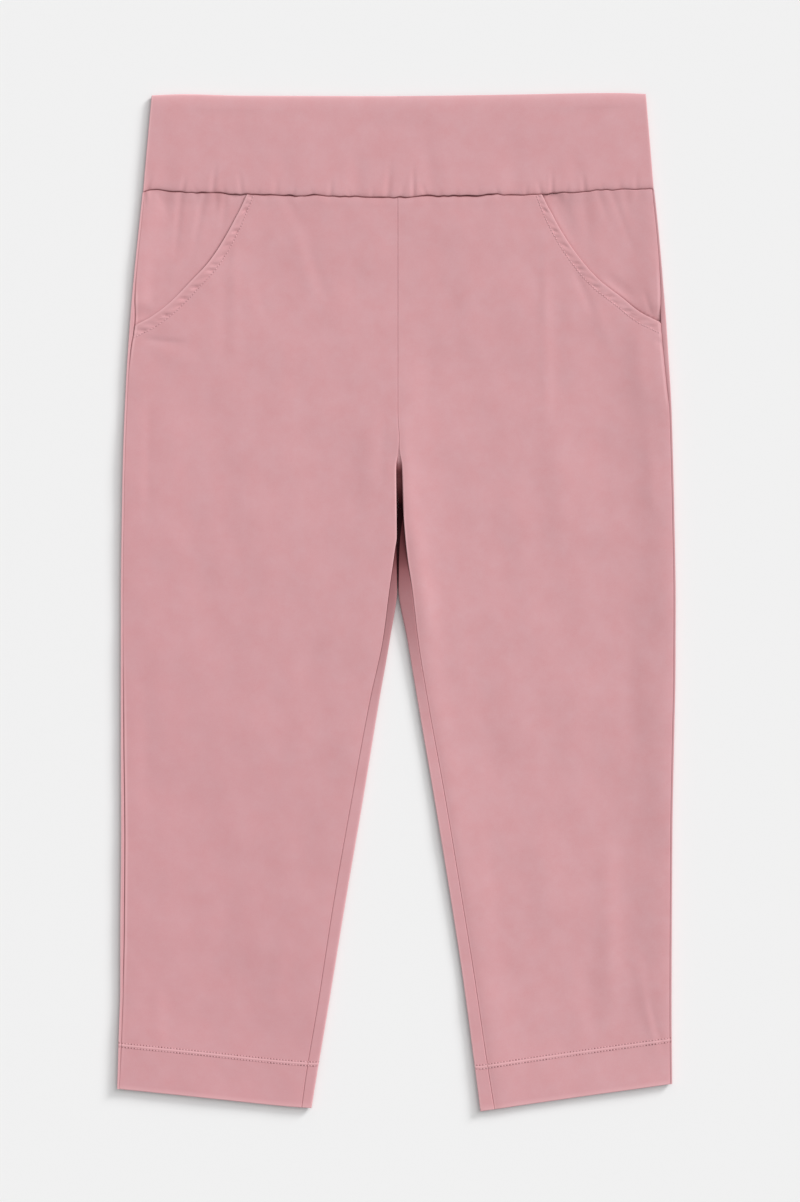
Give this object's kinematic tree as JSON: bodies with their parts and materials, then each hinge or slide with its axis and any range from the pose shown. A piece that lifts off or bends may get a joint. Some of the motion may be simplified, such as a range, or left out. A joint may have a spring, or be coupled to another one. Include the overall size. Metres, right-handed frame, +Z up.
{
  "type": "capri pants",
  "caption": "Pull-on capri pants laid flat and face up, with a wide plain waistband, curved front pockets, a centre front seam, inseams turned a little to the front and deep stitched hems.",
  "frame": {"origin": "middle of the garment's outline as it lies flat, on the surface under it", "axes": "+Z up off the surface, +Y from the hems to the waist, +X towards the wearer's left leg"},
  "size_m": [0.4796, 0.8745, 0.008],
  "materials": {
    "waistband": "matt stretch twill, dusty rose",
    "leg_twill": "matt stretch twill, dusty rose",
    "pocket_facing": "matt stretch twill, dusty rose"
  },
  "bodies": {
    "root": {"waistband_front": "waistband", "waistband_back": "waistband", "front_leg_left": "leg_twill", "front_leg_right": "leg_twill", "back_leg_left": "leg_twill", "back_leg_right": "leg_twill", "pocket_facing_left": "pocket_facing", "pocket_facing_right": "pocket_facing"}
  },
  "joints": []
}
